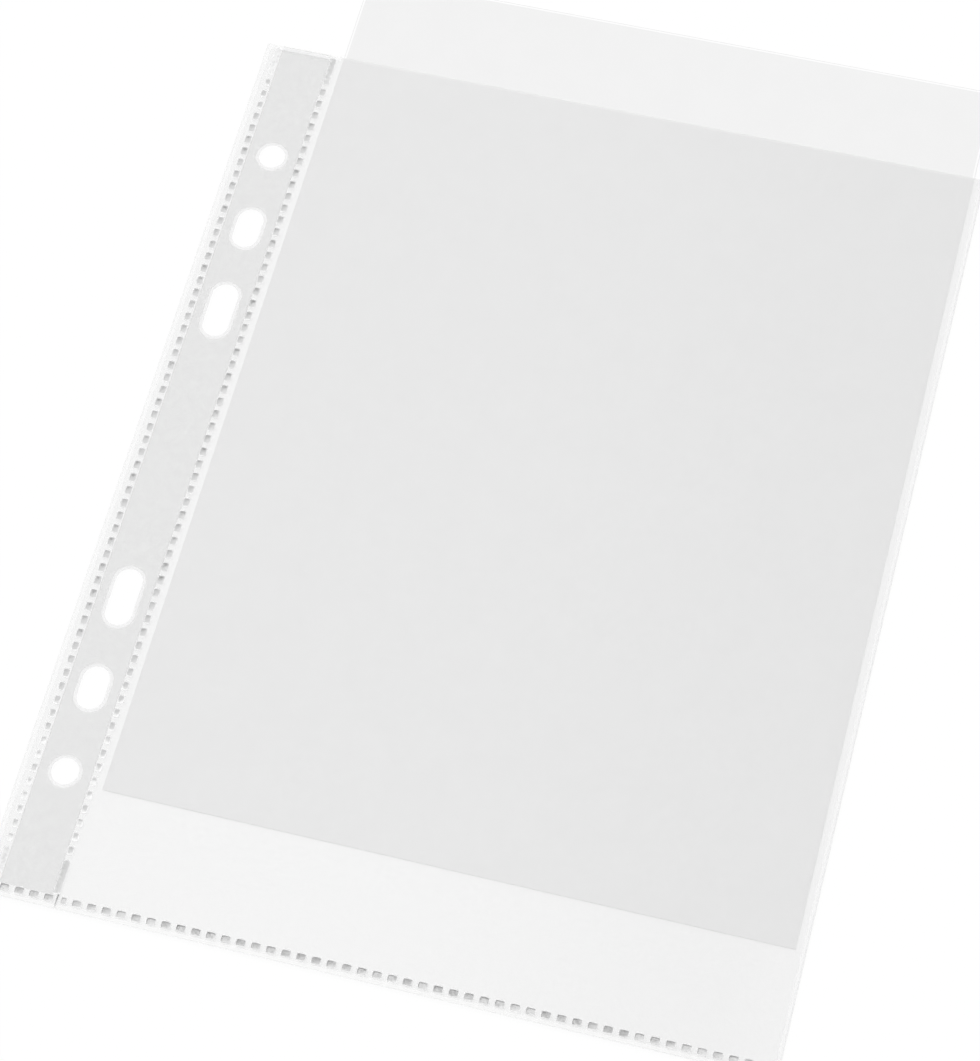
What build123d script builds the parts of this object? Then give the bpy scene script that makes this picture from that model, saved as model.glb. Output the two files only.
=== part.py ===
"""Punched pocket (sheet protector) for one A5 sheet, in millimetres.

A folded plastic web makes the back and the front of the pocket. Along the binding edge two
rows of heat welds close a tunnel that holds a reinforcing tape, and six ring holes go through
web and tape. A third row of welds closes the foot. The head is the open mouth, and a loose
sheet slides in and out of it. Along the inner row of welds the leaf folds over on the strip.

Frame: the origin is the middle of the row of ring holes, on the underside. +X runs across the
pocket from the binding strip to the fold, +Y up the strip to the mouth, +Z out of the front.
"""

import os

from build123d import *

# Insert sheet, A5
insert_width = 148.0
insert_length = 210.0
insert_thickness = 0.10
insert_clearance = 0.05  # between the sheet and each film
insert_left_play = 1.1  # from the leaf's hinge edge to the sheet
insert_right_play = 2.1  # from the sheet to the start of the fold
insert_raised = 27.3  # foot of the pocket to the lower edge of the sheet, as it is drawn out

# Film web
pocket_length = 214.0
film_thickness = 0.12

# Binding strip
outer_margin = 2.9  # outer edge to the middle of the outer row of welds
weld_spacing = 13.3  # between the middles of the outer and the inner row
tape_side_clearance = 0.4  # the films close on each other over this width at the outer side
hinge_land = 0.25  # film left beside the inner row of welds
hinge_gap = 0.20  # open line between strip and leaf
hinge_lift = 0.04  # hinge axis above the front film

# Ring holes: two round ones and two pairs of slots
hole_diameter = 6.0
outer_hole_spacing = 155.0
middle_slot_spacing = 116.0
middle_slot_length = 10.0
inner_slot_spacing = 72.5
inner_slot_length = 13.5

# Heat welds: rows of short dashes, with a plain bar at each end of the long rows
dash_length = 1.9
dash_width = 1.4
dash_gap = 1.28
foot_dash_gap = 1.32  # the dashes of the foot row stand a little further apart
short_dash_length = 1.1  # the leaf's foot row starts with a dash cut short at the hinge line
end_bar_length = 7.4
mouth_margin = 0.8  # mouth edge to the upper end bars
foot_weld_inset = 2.0  # foot edge to the middle of the foot row
foot_bar_gap = 0.5  # foot row to the lower end bars
row_end_gap = 0.25  # least film left at the ends of a foot row
seal_line_width = 0.4  # narrow line that runs on from the inner row to the foot edge
seal_line_margin = 0.4  # foot edge to the end of that line
crater_rim = 0.2
crater_depth = 0.08
crater_taper = 40.0

# Heights of the stack, from the underside up
back_top = film_thickness
channel_height = insert_thickness + 2 * insert_clearance
channel_top = back_top + channel_height
front_top = channel_top + film_thickness
closed_z = front_top / 2  # where the films meet, along the outer edge
closed_top = closed_z + film_thickness

# Places across the pocket
outer_weld_x = -weld_spacing / 2
inner_weld_x = weld_spacing / 2
outer_edge_x = outer_weld_x - outer_margin
strip_end_x = inner_weld_x + dash_width / 2 + hinge_land
leaf_start_x = strip_end_x + hinge_gap
hinge_x = strip_end_x + hinge_gap / 2
hinge_z = front_top + hinge_lift
insert_left_x = leaf_start_x + insert_left_play
fold_x = insert_left_x + insert_width + insert_right_play

# Places along the pocket
mouth_y = pocket_length / 2
foot_y = -pocket_length / 2
foot_weld_y = foot_y + foot_weld_inset
insert_foot_y = foot_y + insert_raised
upper_bar_y = mouth_y - mouth_margin - end_bar_length / 2
lower_bar_y = foot_weld_y + dash_width / 2 + foot_bar_gap + end_bar_length / 2

# The dashes of a long row fill the stretch between its end bars
dash_pitch = dash_length + dash_gap
foot_pitch = dash_length + foot_dash_gap
dash_stretch = upper_bar_y - lower_bar_y - end_bar_length
dash_count = int(dash_stretch / dash_pitch)
dash_middle_y = (upper_bar_y + lower_bar_y) / 2

# The seal line follows the inner row's right side from its lower end bar down
seal_line_x = inner_weld_x + (dash_width - seal_line_width) / 2
seal_line_foot_y = foot_y + seal_line_margin
seal_line_length = lower_bar_y - end_bar_length / 2 - seal_line_foot_y
strip_foot_end_x = seal_line_x - seal_line_width / 2

# The tape fills the tunnel between the two long rows, apart from a clearance at each side
tape_width = weld_spacing - dash_width - 2 * tape_side_clearance
tape_left_x = -tape_width / 2
tape_foot_y = foot_weld_y + dash_width / 2 + foot_bar_gap
closing_x = tape_left_x - tape_side_clearance


def long_row(weld_x, inset=0.0):
    """Outlines of one long row of welds, each drawn in by inset on every side."""
    with BuildSketch() as row:
        with Locations((weld_x, dash_middle_y)):
            with GridLocations(dash_pitch, dash_pitch, 1, dash_count):
                Rectangle(dash_width - 2 * inset, dash_length - 2 * inset)
        with Locations((weld_x, upper_bar_y), (weld_x, lower_bar_y)):
            Rectangle(dash_width - 2 * inset, end_bar_length - 2 * inset)
    return row.sketch


def foot_row(start_x, end_x, inset=0.0):
    """Outlines of whole foot dashes, the first at start_x and the last before end_x."""
    count = int((end_x - row_end_gap - start_x + foot_dash_gap) / foot_pitch)
    middle_x = start_x + (count * foot_pitch - foot_dash_gap) / 2
    with BuildSketch() as row:
        with Locations((middle_x, foot_weld_y)):
            with GridLocations(foot_pitch, foot_pitch, count, 1):
                Rectangle(dash_length - 2 * inset, dash_width - 2 * inset)
    return row.sketch


def strip_foot_row(inset=0.0):
    """The strip's foot dashes, from the tape's outer side to the seal line."""
    return foot_row(tape_left_x + row_end_gap, strip_foot_end_x, inset)


def leaf_foot_row(inset=0.0):
    """The leaf's foot dashes: a short one at the hinge line, then whole ones up to the fold."""
    short_x = leaf_start_x + row_end_gap
    whole_x = short_x + short_dash_length + foot_dash_gap
    with BuildSketch() as row:
        with Locations((short_x + short_dash_length / 2, foot_weld_y)):
            Rectangle(short_dash_length - 2 * inset, dash_width - 2 * inset)
        add(foot_row(whole_x, fold_x, inset))
    return row.sketch


def weld_pads(outlines, craters, base, top):
    """Melted pads from the back film to the front's face, each with a crater from the hot bar."""
    with BuildPart() as pads:
        with BuildSketch(Plane.XY.offset(base)):
            add(outlines)
        extrude(amount=top - base)
        with BuildSketch(Plane.XY.offset(top)):
            add(craters)
        extrude(amount=-crater_depth, taper=crater_taper, mode=Mode.SUBTRACT)
    return pads


def strip_profile(closed_height, open_height):
    """Cross-section of a strip film: flat over the tape, drawn to the other film at the edge."""
    with BuildSketch() as profile:
        with BuildLine():
            Polyline(
                (outer_edge_x, closed_height),
                (closing_x, closed_height),
                (tape_left_x, open_height),
                (strip_end_x, open_height),
                (strip_end_x, open_height + film_thickness),
                (tape_left_x, open_height + film_thickness),
                (closing_x, closed_height + film_thickness),
                (outer_edge_x, closed_height + film_thickness),
                close=True,
            )
        make_face()
    return profile.sketch


# Outlines that several pieces share
with BuildSketch() as ring_holes:
    with Locations((0, outer_hole_spacing / 2), (0, -outer_hole_spacing / 2)):
        Circle(hole_diameter / 2)
    with Locations((0, middle_slot_spacing / 2), (0, -middle_slot_spacing / 2)):
        SlotOverall(middle_slot_length, hole_diameter, rotation=90)
    with Locations((0, inner_slot_spacing / 2), (0, -inner_slot_spacing / 2)):
        SlotOverall(inner_slot_length, hole_diameter, rotation=90)

with BuildSketch() as leaf_outline:
    with Locations(((leaf_start_x + fold_x) / 2, 0)):
        Rectangle(fold_x - leaf_start_x, pocket_length)

with BuildSketch() as inner_outline:
    add(long_row(inner_weld_x))
    with Locations((seal_line_x, seal_line_foot_y)):
        Rectangle(seal_line_width, seal_line_length, align=(Align.CENTER, Align.MIN))

inner_marks = inner_outline.sketch
outer_marks = long_row(outer_weld_x)
strip_foot_marks = strip_foot_row()
leaf_foot_marks = leaf_foot_row()

# Binding strip: back film, tape and front film, punched together
with BuildPart() as strip_back_film:
    with BuildSketch(Plane.XZ.offset(-mouth_y)):
        add(strip_profile(closed_z - film_thickness, 0.0))
    extrude(amount=pocket_length)
    extrude(to_extrude=ring_holes.sketch, amount=front_top, mode=Mode.SUBTRACT)

with BuildPart() as reinforcing_tape:
    with BuildSketch(Plane.XY.offset(back_top)):
        with Locations((0, tape_foot_y)):
            Rectangle(tape_width, mouth_y - tape_foot_y, align=(Align.CENTER, Align.MIN))
        add(ring_holes.sketch, mode=Mode.SUBTRACT)
    extrude(amount=channel_height)

with BuildPart() as strip_front_film:
    with BuildSketch(Plane.XZ.offset(-mouth_y)):
        add(strip_profile(closed_z, channel_top))
    extrude(amount=pocket_length)
    extrude(to_extrude=ring_holes.sketch, amount=front_top, mode=Mode.SUBTRACT)
    extrude(to_extrude=outer_marks, amount=front_top, mode=Mode.SUBTRACT)
    extrude(to_extrude=inner_marks, amount=front_top, mode=Mode.SUBTRACT)
    extrude(to_extrude=strip_foot_marks, amount=front_top, mode=Mode.SUBTRACT)

outer_craters = long_row(outer_weld_x, crater_rim)
inner_craters = long_row(inner_weld_x, crater_rim)
strip_foot_craters = strip_foot_row(crater_rim)
outer_weld = weld_pads(outer_marks, outer_craters, closed_z, closed_top)
inner_weld = weld_pads(inner_marks, inner_craters, back_top, front_top)
strip_foot_weld = weld_pads(strip_foot_marks, strip_foot_craters, back_top, front_top)

# Leaf: back panel, front panel and the fold that joins them
with BuildPart() as back_panel:
    with BuildSketch():
        add(leaf_outline.sketch)
    extrude(amount=film_thickness)

with BuildPart() as front_panel:
    with BuildSketch(Plane.XY.offset(channel_top)):
        add(leaf_outline.sketch)
        add(leaf_foot_marks, mode=Mode.SUBTRACT)
    extrude(amount=film_thickness)

with BuildPart() as side_fold:
    with BuildSketch(Plane((fold_x, foot_y, front_top / 2), (1, 0, 0), (0, -1, 0))):
        Circle(front_top / 2)
        Circle(channel_height / 2, mode=Mode.SUBTRACT)
        with Locations((-front_top / 2, 0)):
            Rectangle(front_top, front_top, mode=Mode.SUBTRACT)
    extrude(amount=-pocket_length)

leaf_foot_craters = leaf_foot_row(crater_rim)
leaf_foot_weld = weld_pads(leaf_foot_marks, leaf_foot_craters, back_top, front_top)

# Insert sheet, drawn part of the way out of the mouth
with BuildPart() as insert_sheet:
    with BuildSketch(Plane.XY.offset(back_top + insert_clearance)):
        with Locations((insert_left_x, insert_foot_y)):
            Rectangle(insert_width, insert_length, align=(Align.MIN, Align.MIN))
    extrude(amount=insert_thickness)

pieces = {
    "strip_back_film": strip_back_film,
    "reinforcing_tape": reinforcing_tape,
    "strip_front_film": strip_front_film,
    "outer_weld": outer_weld,
    "inner_weld": inner_weld,
    "strip_foot_weld": strip_foot_weld,
    "back_panel": back_panel,
    "front_panel": front_panel,
    "side_fold": side_fold,
    "leaf_foot_weld": leaf_foot_weld,
    "insert_sheet": insert_sheet,
}

os.makedirs("parts", exist_ok=True)
for name, piece in pieces.items():
    piece.part.label = name
    export_step(piece.part, f"parts/{name}.step")

print("hinge axis x, z:", round(hinge_x, 3), round(hinge_z, 3))
print("insert lower edge y:", insert_foot_y, "foot weld upper edge y:", foot_weld_y + dash_width / 2)
print("dashes in a long row:", dash_count)
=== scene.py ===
"""Looks of a punched pocket for one A5 sheet: a folded clear film web with welded rows, a
reinforcing tape in its binding strip and a loose paper sheet drawn part of the way out.

Lengths are written in millimetres and put into the meshes in metres, in the frame of the CAD:
+X from the binding strip to the fold, +Y up to the mouth, +Z out of the front.
"""

import math

import bpy
import numpy as np
from mathutils import Euler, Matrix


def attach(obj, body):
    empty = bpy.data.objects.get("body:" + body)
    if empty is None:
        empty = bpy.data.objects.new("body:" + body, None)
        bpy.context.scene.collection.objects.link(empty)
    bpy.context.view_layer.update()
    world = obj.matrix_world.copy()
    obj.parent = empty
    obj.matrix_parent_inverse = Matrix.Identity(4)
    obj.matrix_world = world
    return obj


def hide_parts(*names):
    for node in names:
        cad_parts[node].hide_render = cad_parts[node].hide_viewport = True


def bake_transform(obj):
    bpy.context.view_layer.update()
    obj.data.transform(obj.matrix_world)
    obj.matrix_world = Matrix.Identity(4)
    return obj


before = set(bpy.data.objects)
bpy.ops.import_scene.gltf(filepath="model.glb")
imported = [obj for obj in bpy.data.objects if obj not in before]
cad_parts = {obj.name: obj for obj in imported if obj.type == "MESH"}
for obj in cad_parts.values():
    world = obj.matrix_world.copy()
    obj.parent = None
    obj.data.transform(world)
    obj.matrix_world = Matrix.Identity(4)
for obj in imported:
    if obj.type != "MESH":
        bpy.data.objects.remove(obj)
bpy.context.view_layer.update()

scene = bpy.context.scene
scene.view_settings.view_transform = "Standard"

# Film web
# One piece of clear embossed polypropylene film, folded once along the right edge, so that it
# makes the back, the fold and the front. It is cut to length, and the six ring holes are punched
# through it. The front has a window at each weld, where the melted pad takes the film's place.

film_thickness = 0.12
pocket_length = 214.0
mouth_y = pocket_length / 2
foot_y = -pocket_length / 2
outer_edge_x = -9.55
fold_x = 159.0
stack_middle_z = 0.22  # half way between the two films
fold_radius = 0.16  # of the middle of the film round the fold
film_half_gap = fold_radius - film_thickness / 2  # from the stack's middle to a film's inside
half_fold = fold_radius * math.pi / 2
fold_edge_x = fold_x + fold_radius + film_thickness / 2
closing_x = -5.95  # the films meet outside this line
tape_edge_x = -5.56  # and are apart inside this one
closed_gap = 0.002  # half the hairline left between the closed films
hinge_start_x = 7.42
hinge_end_x = 7.98

hole_radius = 3.0
hole_places = [77.5, 58.0, 36.25]  # from the middle of the row, up and down
hole_straights = [0.0, 2.0, 3.75]  # half of each slot's straight sides
hole_patch = 1.2  # width of the ring of faces round a hole
patch_side_x = hole_radius + hole_patch

dash_length = 1.9
dash_width = 1.4
dash_count = 61
dash_pitch = 3.18
first_dash_y = -94.2
outer_weld_x = -6.65
inner_weld_x = 6.65
bar_length = 7.4
upper_bar_y = 102.5
lower_bar_y = -100.1
seal_line_x = 7.15
seal_line_y = -105.2
seal_line_width = 0.4
seal_line_length = 2.8
foot_weld_y = -105.0
foot_pitch = 3.22
first_strip_dash_x = -4.35
strip_dash_count = 4
short_dash_x = 8.6
short_dash_length = 1.1
first_leaf_dash_x = 11.42
leaf_dash_count = 46


def row_from(first, count, pitch):
    """Middles of an even row that starts at first: count of them, a pitch apart."""
    return first + pitch * np.arange(count)


def boxes_along(x, y, width, height):
    """Rectangles as rows of middle x, middle y, width and height."""
    columns = np.broadcast_arrays(x, y, width, height)
    return np.stack(columns, axis=-1).astype(float).reshape(-1, 4)


dash_y = row_from(first_dash_y, dash_count, dash_pitch)
bar_y = np.array([upper_bar_y, lower_bar_y])
strip_foot_x = row_from(first_strip_dash_x, strip_dash_count, foot_pitch)
leaf_foot_x = row_from(first_leaf_dash_x, leaf_dash_count, foot_pitch)

outer_dashes = boxes_along(outer_weld_x, dash_y, dash_width, dash_length)
outer_bars = boxes_along(outer_weld_x, bar_y, dash_width, bar_length)
inner_dashes = boxes_along(inner_weld_x, dash_y, dash_width, dash_length)
inner_bars = boxes_along(inner_weld_x, bar_y, dash_width, bar_length)
seal_line = boxes_along(seal_line_x, seal_line_y, seal_line_width, seal_line_length)
strip_foot_dashes = boxes_along(strip_foot_x, foot_weld_y, dash_length, dash_width)
short_dash = boxes_along(short_dash_x, foot_weld_y, short_dash_length, dash_width)
whole_dashes = boxes_along(leaf_foot_x, foot_weld_y, dash_length, dash_width)
outer_boxes = np.concatenate([outer_dashes, outer_bars])
inner_boxes = np.concatenate([inner_dashes, inner_bars, seal_line])
leaf_foot_dashes = np.concatenate([short_dash, whole_dashes])
windows = np.concatenate([outer_boxes, inner_boxes, strip_foot_dashes, leaf_foot_dashes])


def box_sides(boxes, axis):
    """The low and high side of each rectangle along one axis (0 is x, 1 is y)."""
    half = boxes[:, axis + 2] / 2
    return np.concatenate([boxes[:, axis] - half, boxes[:, axis] + half])


def grid_cells(x_lines, y_lines, openings):
    """Corner points of every cell between the lines, counter-clockwise, without the cells whose
    middle lies in one of the openings. Shape: cells, 4 corners, 2."""
    x0, y0 = np.meshgrid(x_lines[:-1], y_lines[:-1], indexing="ij")
    x1, y1 = np.meshgrid(x_lines[1:], y_lines[1:], indexing="ij")
    cells = np.stack([x0, y0, x1, y0, x1, y1, x0, y1], axis=-1).reshape(-1, 4, 2)
    middle = cells.mean(axis=1)
    for box in openings:
        away = np.abs(middle - box[:2]) - box[2:] / 2
        keep = (away > 0).any(axis=1)
        cells = cells[keep]
        middle = middle[keep]
    return cells


def slot_outline(share, slot_y, straight):
    """A slot's outline at shares of its length, counter-clockwise from its lowest point: a
    quarter turn, a straight side, a half turn, the other side and the last quarter turn."""
    quarter = hole_radius * math.pi / 2
    run = share * (4 * quarter + 4 * straight)
    turned = np.clip(run, 0, quarter)
    turned = turned + np.clip(run - quarter - 2 * straight, 0, 2 * quarter)
    turned = turned + np.clip(run - 3 * quarter - 4 * straight, 0, quarter)
    angle = turned / hole_radius - math.pi / 2
    climbed = np.clip(run - quarter, 0, 2 * straight)
    dropped = np.clip(run - 3 * quarter - 2 * straight, 0, 2 * straight)
    x = hole_radius * np.cos(angle)
    y = slot_y - straight + climbed - dropped + hole_radius * np.sin(angle)
    return np.stack([x, y], axis=-1)


def hole_ring(x_lines, y_lines, slot_y, straight, steps=4):
    """Faces between a hole's outline and the rectangle left open round it in the grid. Each
    stretch of the rectangle between two grid lines meets several steps of the outline, at the
    same share of the way round. Shape: faces, 3 + steps corners, 2."""
    half = straight + patch_side_x
    close = 1e-6
    xs = x_lines[np.abs(x_lines) < patch_side_x + close]
    ys = y_lines[np.abs(y_lines - slot_y) < half + close]
    low = np.stack([xs[:-1], np.full(len(xs) - 1, ys[0])], axis=-1)
    right = np.stack([np.full(len(ys) - 1, xs[-1]), ys[:-1]], axis=-1)
    high = np.stack([xs[:0:-1], np.full(len(xs) - 1, ys[-1])], axis=-1)
    left = np.stack([np.full(len(ys) - 1, xs[0]), ys[:0:-1]], axis=-1)
    loop = np.concatenate([low, right, high, left])
    step = np.linalg.norm(np.roll(loop, -1, axis=0) - loop, axis=1)
    share = (np.concatenate([[0], np.cumsum(step)]) - patch_side_x) / step.sum()
    part = np.linspace(1, 0, steps + 1)
    round_hole = (share[:-1, None] + part * np.diff(share)[:, None]) % 1.0
    inner = slot_outline(round_hole, slot_y, straight)
    outer = np.stack([loop, np.roll(loop, -1, axis=0)], axis=1)
    return np.concatenate([outer, inner], axis=1)


def mesh_piece(name, points, faces, slots=0, sharp_from=35.0):
    """An object at the origin from points in millimetres, smooth where its faces turn gently.
    The points stay with the mesh as the attribute flat_place, for patterns that keep their
    place when the piece bends. slots gives each face's material slot."""
    mesh = bpy.data.meshes.new(name)
    mesh.from_pydata((points * 0.001).tolist(), [], faces)
    mesh.update()
    count = len(mesh.polygons)
    mesh.polygons.foreach_set("use_smooth", np.ones(count, bool))
    mesh.polygons.foreach_set("material_index", np.broadcast_to(slots, count).astype(np.int32))
    mesh.set_sharp_from_angle(angle=math.radians(sharp_from))
    attribute = mesh.attributes.new("flat_place", "FLOAT_VECTOR", "POINT")
    attribute.data.foreach_set("vector", points.astype(np.float32).ravel())
    piece = bpy.data.objects.new(name, mesh)
    scene.collection.objects.link(piece)
    return piece


def two_faced(name, polygons, place, inside_slot=0, wall_slot=0):
    """A closed sheet from flat polygons: place(points, side) gives the face on each side of the
    sheet, and a wall follows every open edge. Corners at the same flat place are one point.
    The minus side and the walls may take material slots of their own."""
    corners = np.concatenate([p.reshape(-1, 2) for p in polygons])
    flat, index = np.unique(np.round(corners, 4), axis=0, return_inverse=True)
    index = index.ravel()
    count = len(flat)
    faces = []
    slots = []
    edges = []
    start = 0
    for p in polygons:
        block = index[start:start + p.shape[0] * p.shape[1]].reshape(p.shape[0], p.shape[1])
        start += block.size
        faces += (block + count).tolist()
        slots.append(np.full(len(block), inside_slot))
        faces += block[:, ::-1].tolist()
        slots.append(np.zeros(len(block), int))
        edges.append(np.stack([block, np.roll(block, -1, axis=1)], axis=-1).reshape(-1, 2))
    edges = np.concatenate(edges)
    there = edges[:, 0] * count + edges[:, 1]
    back = edges[:, 1] * count + edges[:, 0]
    p, q = edges[~np.isin(there, back)].T
    faces += np.stack([q + count, p + count, p, q], axis=-1).tolist()
    slots.append(np.full(len(p), wall_slot))
    points = np.concatenate([place(flat, 1.0), place(flat, -1.0)])
    return mesh_piece(name, points, faces, np.concatenate(slots))


def smooth_step(share):
    """0 up to share 0 and 1 from share 1 on, with no corner at either: 3 times the square less
    twice the cube between them."""
    step = np.clip(share, 0, 1)
    return step * step * (3 - 2 * step)


def drawn_in(x):
    """How far each film is drawn in to the other: all the way outside the closing line, not at all
    inside the tape's edge, and by a smooth step between them."""
    opened = smooth_step((x - closing_x) / (tape_edge_x - closing_x))
    return (film_half_gap - closed_gap) * (1 - opened)


def web_place(flat, side):
    """The folded web. flat holds the way across the unfolded web from the middle of the fold,
    minus on the back and plus on the front, and y. Near the fold it is a half circle, and beyond
    it lies flat, drawn in to the other film outside the tape."""
    across, y = flat.T
    face = np.sign(across)
    beyond = np.maximum(np.abs(across) - half_fold, 0)
    turn = np.clip(across / fold_radius, -math.pi / 2, math.pi / 2)
    radius = fold_radius + side * film_thickness / 2
    x = fold_x - beyond + radius * np.cos(turn)
    z = stack_middle_z + radius * np.sin(turn) - face * drawn_in(x)
    return np.stack([x, y, z], axis=-1)


def to_web(polygons, face):
    """Flat polygons in x and y as places on the unfolded web, with the winding kept."""
    across = face * (half_fold + fold_x - polygons[..., 0])
    turned = np.stack([across, polygons[..., 1]], axis=-1)
    return turned[:, ::-1] if face > 0 else turned


def sorted_lines(*lines):
    """All the lines of a grid in order, each once."""
    return np.unique(np.round(np.concatenate(lines), 4))


hole_y = np.array(hole_places + [-y for y in hole_places])
hole_half = np.array(hole_straights * 2)
hole_boxes = boxes_along(0.0, hole_y, 2 * patch_side_x, 2 * (hole_half + patch_side_x))
patch_lines = np.linspace(-patch_side_x, patch_side_x, 7)
closing_lines = np.linspace(closing_x, tape_edge_x, 6)
hinge_lines = np.linspace(hinge_start_x, hinge_end_x, 11)
shared_lines = np.concatenate([[outer_edge_x], closing_lines, hinge_lines, [fold_x]])
front_lines = sorted_lines(shared_lines, patch_lines[[0, -1]], box_sides(windows, 0))
back_lines = sorted_lines(shared_lines, patch_lines, np.linspace(10, fold_x, 12))
web_y_lines = sorted_lines([foot_y, mouth_y], box_sides(windows, 1), box_sides(hole_boxes, 1))
fold_lines = fold_radius * np.linspace(-math.pi / 2, math.pi / 2, 13)

web_polygons = [
    to_web(grid_cells(front_lines, web_y_lines, np.concatenate([windows, hole_boxes])), 1),
    to_web(grid_cells(back_lines, web_y_lines, hole_boxes), -1),
    grid_cells(fold_lines, web_y_lines, []),
]
for slot_y, straight in zip(hole_y, hole_half):
    web_polygons.append(to_web(hole_ring(front_lines, web_y_lines, slot_y, straight), 1))
    web_polygons.append(to_web(hole_ring(back_lines, web_y_lines, slot_y, straight), -1))
film_web = two_faced("film_web", web_polygons, web_place, inside_slot=1, wall_slot=2)


class Reading:
    """A number, colour or vector that changes over a surface: a node's output socket. Arithmetic
    on it adds Math nodes."""

    def __init__(self, finish, socket):
        self.finish = finish
        self.socket = socket

    def math(self, operation, other=0.0, swapped=False):
        """A Math node on this reading and another value, or on the two the other way round."""
        pair = (other, self) if swapped else (self, other)
        return self.finish.add("ShaderNodeMath", {"operation": operation}, dict(enumerate(pair)))

    def __add__(self, other):
        return self.math("ADD", other)

    def __radd__(self, other):
        return self.math("ADD", other)

    def __sub__(self, other):
        return self.math("SUBTRACT", other)

    def __rsub__(self, other):
        return self.math("SUBTRACT", other, True)

    def __mul__(self, other):
        return self.math("MULTIPLY", other)

    def __rmul__(self, other):
        return self.math("MULTIPLY", other)

    def __pow__(self, other):
        return self.math("POWER", other)

    def least(self, other):
        return self.math("MINIMUM", other)

    def most(self, other):
        return self.math("MAXIMUM", other)

    def size(self):
        return self.math("ABSOLUTE")

    def rise(self, start, end):
        """0 up to start and 1 from end on, with a smooth step between; start may be the larger."""
        low, high = min(start, end), max(start, end)
        ends = (0.0, 1.0) if start < end else (1.0, 0.0)
        return self.finish.add(
            "ShaderNodeMapRange",
            {"interpolation_type": "SMOOTHSTEP"},
            {0: self, 1: low, 2: high, 3: ends[0], 4: ends[1]},
        )

    def band(self, start, full, last, end):
        """1 from full to last and 0 before start and after end, with a smooth step each side."""
        return self.rise(start, full) * self.rise(end, last)


class Finish:
    """A node tree for a material or the world. add() makes a node, sets its settings first and
    then its sockets, by value or by link, and gives back one of its outputs."""

    def __init__(self, owner):
        owner.use_nodes = True
        self.owner = owner
        self.tree = owner.node_tree
        self.tree.nodes.clear()

    def add(self, kind, settings, sockets, output=0):
        node = self.tree.nodes.new(kind)
        for key, value in settings.items():
            setattr(node, key, value)
        for key, value in sockets.items():
            if isinstance(value, Reading):
                self.tree.links.new(value.socket, node.inputs[key])
            else:
                node.inputs[key].default_value = value
        return Reading(self, node.outputs[output]) if len(node.outputs) else None

    def other(self, reading, output):
        """Another output of the node that a reading comes from."""
        return Reading(self, reading.socket.node.outputs[output])

    def blend(self, share, first, second):
        """A colour that goes from first to second with share."""
        sockets = {0: share, 6: first, 7: second}
        return self.add("ShaderNodeMix", {"data_type": "RGBA"}, sockets, 2)

    def flat_place(self):
        """The place on the piece at rest, in millimetres."""
        return self.add("ShaderNodeAttribute", {"attribute_name": "flat_place"}, {}, 1)

    def axes(self, place):
        """The x, y and z of a place."""
        x = self.add("ShaderNodeSeparateXYZ", {}, {0: place})
        return x, self.other(x, 1), self.other(x, 2)

    def noise(self, place, scale, detail):
        """Noise about 0, from -0.5 to 0.5; scale is in features to the millimetre."""
        sockets = {"Vector": place, "Scale": scale, "Detail": detail}
        return self.add("ShaderNodeTexNoise", {}, sockets) - 0.5

    def bump(self, height, strength, depth):
        """A normal bent by a height that changes over the surface; depth is in millimetres."""
        sockets = {"Height": height, "Strength": strength, "Distance": depth * 0.001}
        return self.add("ShaderNodeBump", {}, sockets)

    def plastic(self, **sockets):
        """A clear or clouded plastic body, with the refraction of polypropylene."""
        sockets = {key.replace("_", " "): value for key, value in sockets.items()}
        return self.add("ShaderNodeBsdfPrincipled", {}, {"IOR": 1.49, **sockets})

    def show(self, shader):
        """Closes the tree with a shader and gives back its material."""
        self.add("ShaderNodeOutputMaterial", {}, {"Surface": shader})
        return self.owner


def grey(level):
    """A colour with the same level of red, green and blue."""
    return (level, level, level, 1.0)


film_mirror = 0.075  # share of light that one film's two faces send back, seen straight on
film_grazing = 0.9  # and how much is added to it, seen along the film
film_haze = 0.053  # share of the film that shows; the rest is clear
film_grey = 0.8
emboss_scale = 1.2
emboss_haze = 0.03  # how much the haze changes with the embossing
emboss_depth = 0.05
cut_highlight_reach = (0.15, 0.5, 1.0, 1.35)  # from a cut edge to the start and end of its painted highlight, a white line
fold_highlight_reach = (0.2, 0.4, 0.8, 1.05)  # and from the fold's edge to its own
highlight_nearer = 0.25  # how much nearer the painted highlight lies to the foot
highlight_turning = 4.0  # how fast it leaves the mouth's edge beyond the hinge
highlight_alpha = 0.6
highlight_matt = 0.5  # how much of the mirror it takes away
front_margin = 0.01

film = Finish(bpy.data.materials.new("clear_film"))
place = film.flat_place()
x, y, z = film.axes(place)
# Painted highlight: a white line inside each cut edge and along the fold, on the front film only,
# where a real edge would catch the light.
to_foot = y - foot_y + highlight_nearer
to_mouth = mouth_y - y + (x - hinge_end_x).most(0.0) * highlight_turning
cut_edge_highlight = (x - outer_edge_x).least(to_foot).least(to_mouth).band(*cut_highlight_reach)
fold_edge_highlight = (fold_edge_x - x).band(*fold_highlight_reach)
on_front = z.rise(stack_middle_z - front_margin, stack_middle_z + front_margin)
painted_edge_highlight = cut_edge_highlight.most(fold_edge_highlight) * on_front
emboss = film.noise(place, emboss_scale, 1.0)
film_bump = film.bump(emboss, 0.12, emboss_depth)
film_body = film.plastic(
    Base_Color=film.blend(painted_edge_highlight.rise(0.0, 0.2), grey(film_grey), grey(1.0)),
    Roughness=0.3 + emboss * 0.15,
    Alpha=(film_haze + emboss * emboss_haze).most(painted_edge_highlight * highlight_alpha),
    Normal=film_bump,
)
film_gloss = film.add("ShaderNodeBsdfGlossy", {}, {"Roughness": 0.16, "Normal": film_bump})
facing = film.add("ShaderNodeLayerWeight", {}, {"Blend": 0.5}, 1)
mirror = (film_mirror + (facing ** 5.0) * film_grazing) * (1 - painted_edge_highlight * highlight_matt)
film_faces = film.add("ShaderNodeMixShader", {}, {0: mirror, 1: film_body, 2: film_gloss})
film_web.data.materials.append(film.show(film_faces))

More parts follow.
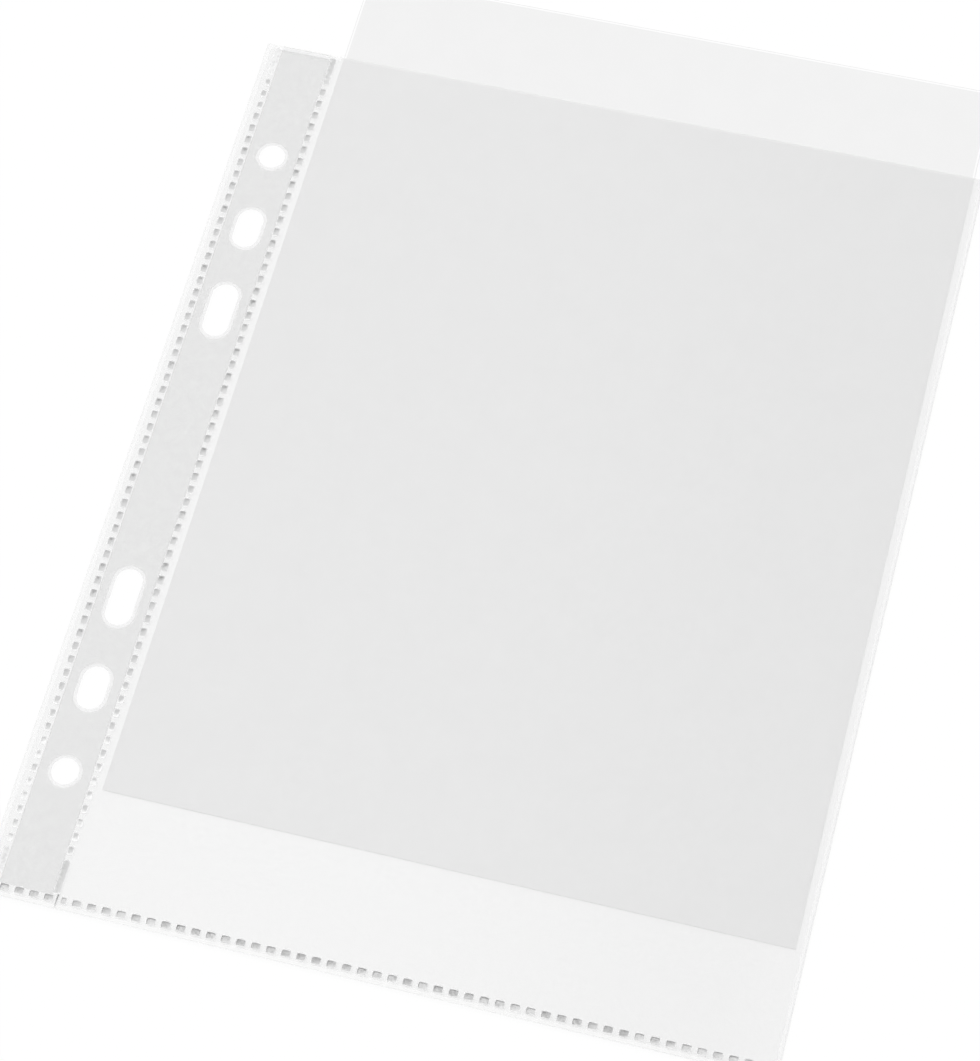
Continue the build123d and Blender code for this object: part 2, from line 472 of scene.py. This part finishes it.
lining = Finish(bpy.data.materials.new("film_inside"))
lining_body = lining.plastic(Base_Color=grey(0.6), Roughness=0.35, Alpha=0.0)
film_web.data.materials.append(lining.show(lining_body))

cut_haze = 0.06
nick_haze = 0.1  # how much the haze of a cut edge changes with its nicks

cut = Finish(bpy.data.materials.new("film_cut"))
nicks = cut.noise(cut.flat_place(), 1.5, 1.0)
cut_alpha = cut_haze + nicks * nick_haze
cut_body = cut.plastic(Base_Color=grey(0.95), Roughness=0.5, Alpha=cut_alpha)
film_web.data.materials.append(cut.show(cut_body))

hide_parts("strip_back_film", "strip_front_film", "back_panel", "front_panel", "side_fold")
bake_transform(film_web)

# Reinforcing tape
# A stiffer strip of greyer polypropylene, laid in the tunnel between the two long rows of welds
# before they are made and punched together with the films. Nothing else holds it.

tape_start = 2  # the line between the closing films that the tape starts at
tape_left_x = closing_lines[tape_start]
tape_right_x = 5.9
tape_foot_y = -104.2
tape_head_y = mouth_y - 0.05
tape_half_thickness = 0.09
tape_clearance = 0.01
tape_grey = 0.75
tape_haze = 0.205
tape_cloud = 0.04  # how much the haze changes along the drawn tape
side_haze = 0.03  # how much is added to it along the cut sides
pale_ring = 0.7  # width of the paler ring that the punch leaves round a hole
pale_ring_soft = 0.15  # half the width of the ring's soft edge
pale_ring_wander = 0.3
pale_ring_clear = 0.85  # how much of the haze the ring takes away

tape_x_lines = sorted_lines(closing_lines[tape_start:], patch_lines, [tape_right_x])
tape_y_lines = sorted_lines(np.linspace(tape_foot_y, tape_head_y, 40), box_sides(hole_boxes, 1))
tape_polygons = [grid_cells(tape_x_lines, tape_y_lines, hole_boxes)]
for slot_y, straight in zip(hole_y, hole_half):
    tape_polygons.append(hole_ring(tape_x_lines, tape_y_lines, slot_y, straight))


def tape_place(flat, side):
    """A flat strip: the faces lie half a thickness below and above the stack's middle. Its outer
    side is pressed thinner, as the films close on it."""
    room = film_half_gap - tape_clearance - drawn_in(flat[:, 0])
    z = stack_middle_z - side * np.minimum(tape_half_thickness, room)
    return np.column_stack([flat, z])


def hole_distance(x, y):
    """How far a place on the strip is from the nearest hole's outline, in millimetres: the
    distance to the middle line of each slot, less its radius. Holes lie evenly about y = 0."""
    up = y.size()
    nearest = None
    for slot_y, straight in zip(hole_places, hole_straights):
        along = ((up - slot_y).size() - straight).most(0.0)
        away = (x * x + along * along) ** 0.5
        nearest = away if nearest is None else nearest.least(away)
    return nearest - hole_radius


tape = two_faced("tape", tape_polygons, tape_place)

strip = Finish(bpy.data.materials.new("grey_tape"))
place = strip.flat_place()
x, y = strip.axes(place)[:2]
drawn = strip.noise(place, 0.5, 1.0)
from_hole = hole_distance(x, y) + drawn * pale_ring_wander
ring = from_hole.rise(pale_ring + pale_ring_soft, pale_ring - pale_ring_soft)
side_line = (x - tape_left_x).least(tape_right_x - x).rise(0.5, 0.05)
tape_cloudiness = tape_haze + drawn * tape_cloud + side_line * side_haze
tape_body = strip.plastic(
    Base_Color=grey(tape_grey),
    Roughness=0.4 + drawn * 0.2,
    Alpha=tape_cloudiness * (1 - ring * pale_ring_clear),
)
tape.data.materials.append(strip.show(tape_body))

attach(tape, "binding_edge")
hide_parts("reinforcing_tape")

# Long rows of welds
# Dashes that a heated toothed wheel has pressed through both films, one row beside the outer edge
# and one between the strip and the pocket, with a plain bar at each end. Each is a melted pad in
# its window of the film, with a flash of white film squeezed out round it and a grey crater. The
# flash's white is partly a painted highlight, and the crater's darker grey toward the mouth is
# partly painted shade of its far wall.

weld_draws = np.random.default_rng(11)
pad_gap = 0.004
pad_least_half = 0.05  # of a ring that is drawn in
pad_points = 12
pad_turn = (np.arange(pad_points) + 0.5) * math.tau / pad_points
pad_inset = np.array([0.0, 0.0, 0.0, -0.05, 0.03, 0.0])  # foot, edge, flash, crest, brim, floor
pad_power = np.array([12.0, 12.0, 6.0, 8.0, 10.0, 9.0])  # how square each ring is
pad_lift = np.array([0.0, 0.0, 0.003, 0.022, 0.0, 0.0])  # above the top of the film
pad_melt = np.array([0.0, 0.0, 0.12, 0.3, 0.0, 0.95])
pad_is_flash = np.array([0, 0, 1, 0, 0, 0])
pad_is_brim = np.array([0, 0, 0, 0, 1, 0])
pad_is_floor = np.array([0, 0, 0, 0, 0, 1])
least_lift = 0.2  # share of the lift that the faintest pad keeps
far_flash_and_highlight_reach = (0.15, 0.42)  # on the mouth's side, where the flash's white is partly a painted highlight
near_flash_reach = (0.06, 0.3)  # on the foot's side
dash_depth_share = 0.55  # of the full depth, at the middle of a dash's floor
dash_lean = 0.15  # how much a dash's floor leans at random
dash_slope_melt_and_shade = 0.6  # how much its floor darkens with its slope toward the mouth: partly melting, partly painted shade of the far wall
bar_depth_share = 0.4  # of the full depth, at the middle of a bar's floor
bar_inset = 0.12  # how far a bar's floor is drawn in
bar_lean = 0.12  # how much deeper and more melted a bar's floor is on the leaf's side
bar_brim_melt = 0.85
crater_skin = 0.01  # least depth of a crater, and least film left under it


def weld_pads(name, boxes, press, base, top, depth, slope, floor_inset, brim_melt, side_flash):
    """Melted pads, each a stack of six rings: foot, edge, flash, crest, brim and crater floor. A
    ring is the pad's rectangle drawn in, as a superellipse whose power sets how square it is.
    The flash reaches out furthest on the mouth's side, where its white is partly a painted
    highlight.
    A dash's floor falls to that side by slope and leans at random, and a bar's floor falls to the
    leaf's side. press scales each crater's depth and how much it has melted. A dash's floor also
    darkens toward the mouth, partly from melting and partly as painted shade of its far wall."""
    count = len(boxes)
    is_dash = (boxes[:, 3] < 2 * dash_length)[:, None, None]
    turn = np.stack([np.cos(pad_turn), np.sin(pad_turn)], axis=-1)
    power = pad_power[:, None]
    reach = (np.abs(turn)[None] ** power[..., None]).sum(axis=-1) ** (-1 / power)
    unit = turn[None] * reach[..., None]
    inset = pad_inset[:, None] + np.where(is_dash, floor_inset, bar_inset) * pad_is_floor[:, None]
    half = np.maximum(boxes[:, None, 2:] / 2 - pad_gap - inset, pad_least_half)
    far_flash = weld_draws.uniform(*far_flash_and_highlight_reach, (count, 1))
    near_flash = weld_draws.uniform(*near_flash_reach, (count, 1))
    to_mouth = np.maximum(turn[:, 1], 0) ** 2
    to_foot = np.maximum(-turn[:, 1], 0) ** 2
    flash = side_flash * turn[:, 0] ** 2 + far_flash * to_mouth + near_flash * to_foot
    flat = boxes[:, None, None, :2] + half[:, :, None, :] * unit[None]
    flat = flat + (flash[:, None, :] * pad_is_flash[:, None])[..., None] * turn
    lean = weld_draws.normal(0, dash_lean, (count, 2))
    leaning = (lean[:, None, None, :] * unit[None]).sum(axis=-1)
    dash_fall = dash_depth_share + slope * unit[..., 1] + leaning
    bar_fall = bar_depth_share + bar_lean * unit[..., 0]
    fall = np.where(is_dash, dash_fall, bar_fall)
    pressed = press[:, None, None]
    lift = pad_lift[:, None] * np.clip(pressed, least_lift, 1.0)
    sunk = np.clip(depth * pressed * fall, crater_skin, top - base - crater_skin)
    z = top + lift - sunk * pad_is_floor[:, None]
    z[:, 0] = base
    points = np.concatenate([flat, z[..., None]], axis=-1).reshape(-1, 3)
    rings = len(pad_inset)
    ring = np.arange(pad_points)
    after = (ring + 1) % pad_points
    level = np.arange(rings - 1)[:, None] * pad_points
    low = [level + ring, level + after]
    high = [level + pad_points + after, level + pad_points + ring]
    band = np.stack(low + high, axis=-1).reshape(-1, 4)
    first = np.arange(count)[:, None] * rings * pad_points
    faces = (first[..., None] + band).reshape(-1, 4).tolist()
    faces += (first + (rings - 1) * pad_points + ring).tolist()
    faces += (first + ring[::-1]).tolist()
    piece = mesh_piece(name, points, faces, sharp_from=50.0)
    at_brim = np.where(is_dash, brim_melt, bar_brim_melt) * pad_is_brim[:, None]
    dash_floor = dash_slope_melt_and_shade * slope * unit[..., 1]
    at_floor = np.where(is_dash, dash_floor, bar_lean * unit[..., 0]) * pad_is_floor[:, None]
    melt_and_shade = (pad_melt[:, None] + at_brim + at_floor) * pressed
    attribute = piece.data.attributes.new("melt_and_shade", "FLOAT", "POINT")
    attribute.data.foreach_set("value", melt_and_shade.astype(np.float32).ravel())
    return piece


# The flash's white is partly real flash and partly a painted highlight, most where it reaches out
# on the mouth's side.
flash_and_highlight_white = 0.97
crater_grey = 0.66
deep_melt_and_shade_grey = 0.4
ripple_depth = 0.2

weld = Finish(bpy.data.materials.new("melted_film"))
ripple = weld.noise(weld.flat_place(), 1.6, 2.0)
melt_and_shade = weld.add("ShaderNodeAttribute", {"attribute_name": "melt_and_shade"}, {}, 2)
melt_and_shade = melt_and_shade * (1.0 + ripple * 0.8)
# The crater's grey is the grey of melted film, and toward the mouth's end of a dash's floor it is
# also painted shade where the far wall lies in shade.
weld_colour = weld.blend(melt_and_shade.rise(0.3, 0.5), grey(flash_and_highlight_white), grey(crater_grey))
weld_colour = weld.blend(melt_and_shade.rise(0.9, 1.3), weld_colour, grey(deep_melt_and_shade_grey))
weld_body = weld.plastic(
    Base_Color=weld_colour,
    Roughness=0.38 + ripple * 0.2,
    Alpha=0.03 + melt_and_shade.rise(0.0, 0.35) * 0.9,
    Normal=weld.bump(ripple, 0.4, ripple_depth),
)
melted_film = weld.show(weld_body)


def fading(along, faint, full, least):
    """How hard each pad of a row is pressed: least up to the place faint, 1 from the place full on,
    with a smooth step between; faint may be the larger."""
    return least + (1 - least) * smooth_step((along - faint) / (full - faint))


long_press = (0.8, 1.05)  # how hard a dash of the long rows is pressed, at random
outer_bar_press = [0.38, 0.38]  # the upper bar and the lower one
inner_bar_press = [0.49, 0.54]
seal_line_press = [1.15]

outer_press = fading(dash_y, faint=-75.0, full=-40.0, least=0.47)
outer_press = outer_press * fading(dash_y, faint=97.0, full=80.0, least=0.6)
outer_press = outer_press * weld_draws.uniform(*long_press, dash_count)
inner_press = fading(dash_y, faint=-78.0, full=-25.0, least=0.5)
inner_press = inner_press * weld_draws.uniform(*long_press, dash_count)
outer_row = weld_pads(
    "outer_weld_row", outer_boxes, np.concatenate([outer_press, outer_bar_press]),
    base=0.226, top=0.342, depth=0.12, slope=0.4, floor_inset=0.24, brim_melt=0.45, side_flash=0.1,
)
inner_row = weld_pads(
    "inner_weld_row", inner_boxes, np.concatenate([inner_press, inner_bar_press, seal_line_press]),
    base=0.125, top=0.442, depth=0.15, slope=0.4, floor_inset=0.24, brim_melt=0.45, side_flash=0.03,
)
for row, node in ((outer_row, "outer_weld"), (inner_row, "inner_weld")):
    row.data.materials.append(melted_film)
    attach(row, "binding_edge")
    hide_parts(node)

# Foot row of welds
# The same dashes turned along the foot, one run across the strip and one across the leaf. They
# close the pocket's foot and hold the tape's lower end in.

foot_press = (0.95, 1.15)  # pressed harder than the long rows

strip_foot_press = weld_draws.uniform(*foot_press, len(strip_foot_dashes))
leaf_foot_press = weld_draws.uniform(*foot_press, len(leaf_foot_dashes))
leaf_foot_press = leaf_foot_press * fading(leaf_foot_dashes[:, 0], faint=6.0, full=26.0, least=0.6)
foot_sizes = dict(
    base=0.125, top=0.442, depth=0.15, slope=0.0, floor_inset=0.1, brim_melt=0.85, side_flash=0.2
)
strip_foot_row = weld_pads("strip_foot_row", strip_foot_dashes, strip_foot_press, **foot_sizes)
leaf_foot_row = weld_pads("leaf_foot_row", leaf_foot_dashes, leaf_foot_press, **foot_sizes)
for row, node, body in (
    (strip_foot_row, "strip_foot_weld", "binding_edge"),
    (leaf_foot_row, "leaf_foot_weld", "pocket_leaf"),
):
    row.data.materials.append(melted_film)
    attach(row, body)
    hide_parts(node)

# Insert sheet
# One loose A5 sheet of white uncoated paper, cut square. It lies between the films and is drawn
# part of the way out of the mouth, so its upper end shows bare.

sheet_left_x = 8.9
sheet_width = 148.0
sheet_right_x = sheet_left_x + sheet_width
sheet_foot_y = -79.7
sheet_length = 210.0
sheet_head_y = sheet_foot_y + sheet_length
sheet_half_thickness = 0.05
bare_margin = 0.3  # half the width of the step at the mouth, where the sheet comes out bare
sheet_edge_highlight_reach = (0.1, 0.2, 0.4, 0.65)  # from the sheet's cut edge to its painted highlight, a pale line
rim_reach = (0.14, 0.06)  # and to the darker rim outside that
fibre_depth = 0.05

sheet_x_lines = np.linspace(sheet_left_x, sheet_right_x, 19)
sheet_y_lines = np.linspace(sheet_foot_y, sheet_head_y, 27)


def sheet_place(flat, side):
    """A flat sheet: the faces lie half a thickness below and above the stack's middle."""
    z = np.full(len(flat), stack_middle_z - side * sheet_half_thickness)
    return np.column_stack([flat, z])


insert = two_faced("insert", [grid_cells(sheet_x_lines, sheet_y_lines, [])], sheet_place)

paper = Finish(bpy.data.materials.new("white_paper"))
place = paper.flat_place()
x, y = paper.axes(place)[:2]
edge = (x - sheet_left_x).least(sheet_right_x - x).least(sheet_head_y - y)
bare = y.rise(mouth_y - bare_margin, mouth_y + bare_margin)
fibres = paper.noise(place, 3.0, 2.0)
formation = paper.noise(place, 0.12, 2.0)
shade = (formation * 0.5 + fibres * 0.5).rise(-0.5, 0.5)
paper_colour = paper.blend(shade, grey(0.88), grey(0.91))
# Painted highlight: a pale line inside the bare sheet's cut edges, where a real edge would catch
# the light.
paper_colour = paper.blend(edge.band(*sheet_edge_highlight_reach) * bare, paper_colour, grey(1.0))
paper_colour = paper.blend(edge.rise(*rim_reach) * bare, paper_colour, grey(0.82))
paper_body = paper.add(
    "ShaderNodeBsdfPrincipled",
    {},
    {
        "Base Color": paper_colour,
        "Roughness": 0.85 + fibres * 0.1,
        "Specular IOR Level": 0.2,
        "Normal": paper.bump(fibres, 0.15, fibre_depth),
    },
)
insert.data.materials.append(paper.show(paper_body))

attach(insert, "insert")
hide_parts("insert_sheet")

# Table, light and camera
# A white table top that fills the picture, a dome that is brighter on the left and that glossy
# pieces mirror paler near the horizon, one wide soft lamp beyond the mouth that shows the craters'
# far walls dark, and the camera low at the foot. Lengths here are in metres.

table_half = 8.0
table_z = -0.00003
table_glow = 0.942  # what shows of the table without any light on it
table_shaded = 0.06  # what the light adds, so that the object's shadow shows
table_corners = [(-1, -1), (1, -1), (1, 1), (-1, 1)]
table_mesh = bpy.data.meshes.new("table")
table_mesh.from_pydata(
    [(table_half * x, table_half * y, table_z) for x, y in table_corners], [], [(0, 1, 2, 3)]
)
table = bpy.data.objects.new("table", table_mesh)
scene.collection.objects.link(table)
top = Finish(bpy.data.materials.new("white_table"))
camera_ray = top.add("ShaderNodeLightPath", {}, {})
glossy_ray = top.other(camera_ray, 3)
transmission_ray = top.other(camera_ray, 6)
seen = camera_ray.most(glossy_ray).most(transmission_ray)
matt = top.add("ShaderNodeBsdfDiffuse", {}, {"Color": grey(0.8)})
dim = top.add("ShaderNodeBsdfDiffuse", {}, {"Color": grey(table_shaded)})
glow = top.add("ShaderNodeEmission", {}, {"Color": grey(1.0), "Strength": table_glow})
white = top.add("ShaderNodeAddShader", {}, {0: dim, 1: glow})
white_top = top.show(top.add("ShaderNodeMixShader", {}, {0: seen, 1: matt, 2: white}))
table_mesh.materials.append(white_top)

dome_dim = 0.36
dome_step = 0.42  # how much brighter the left is
dome_edge = (-0.085, -0.125)  # where the brighter part starts, as a share of the way left
backdrop = 0.7  # what glossy pieces mirror near the horizon
backdrop_edge = (0.6, 0.4)  # and where it ends, as a share of the way up
scene.world = bpy.data.worlds.new("studio")
dome = Finish(scene.world)
direction = dome.add("ShaderNodeTexCoord", {}, {})
rightward, upward = dome.axes(direction)[::2]
dome_strength = dome_dim + rightward.rise(*dome_edge) * dome_step
mirrored = dome.add("ShaderNodeLightPath", {}, {}, 3) * upward.rise(*backdrop_edge)
dome_strength = dome_strength + mirrored * (backdrop - dome_strength)
dome_light = dome.add("ShaderNodeBackground", {}, {"Color": grey(1.0), "Strength": dome_strength})
dome.add("ShaderNodeOutputWorld", {}, {"Surface": dome_light})

lamp = bpy.data.lights.new("soft_lamp", "SUN")
lamp.energy = 2.88
lamp.angle = math.radians(30)
lamp_object = bpy.data.objects.new("soft_lamp", lamp)
lamp_object.rotation_euler = Euler((math.radians(-60), 0, math.radians(20)))
lamp_object.visible_glossy = False  # the film mirrors the dome, not the lamp
scene.collection.objects.link(lamp_object)

# The lens, place and turn are fitted to the corners, holes and welds in the photograph.
camera = bpy.data.cameras.new("camera")
camera.sensor_width = 36.0
camera.lens = 112.353
camera.clip_start = 0.01
camera.clip_end = 100.0
camera_object = bpy.data.objects.new("camera", camera)
camera_object.location = (0.185058, -0.292716, 0.643005)
camera_object.rotation_euler = Euler((0.447301, 0.054517, 0.256534))
scene.collection.objects.link(camera_object)
scene.camera = camera_object
scene.cycles.transparent_max_bounces = 64  # a low view passes many clear faces
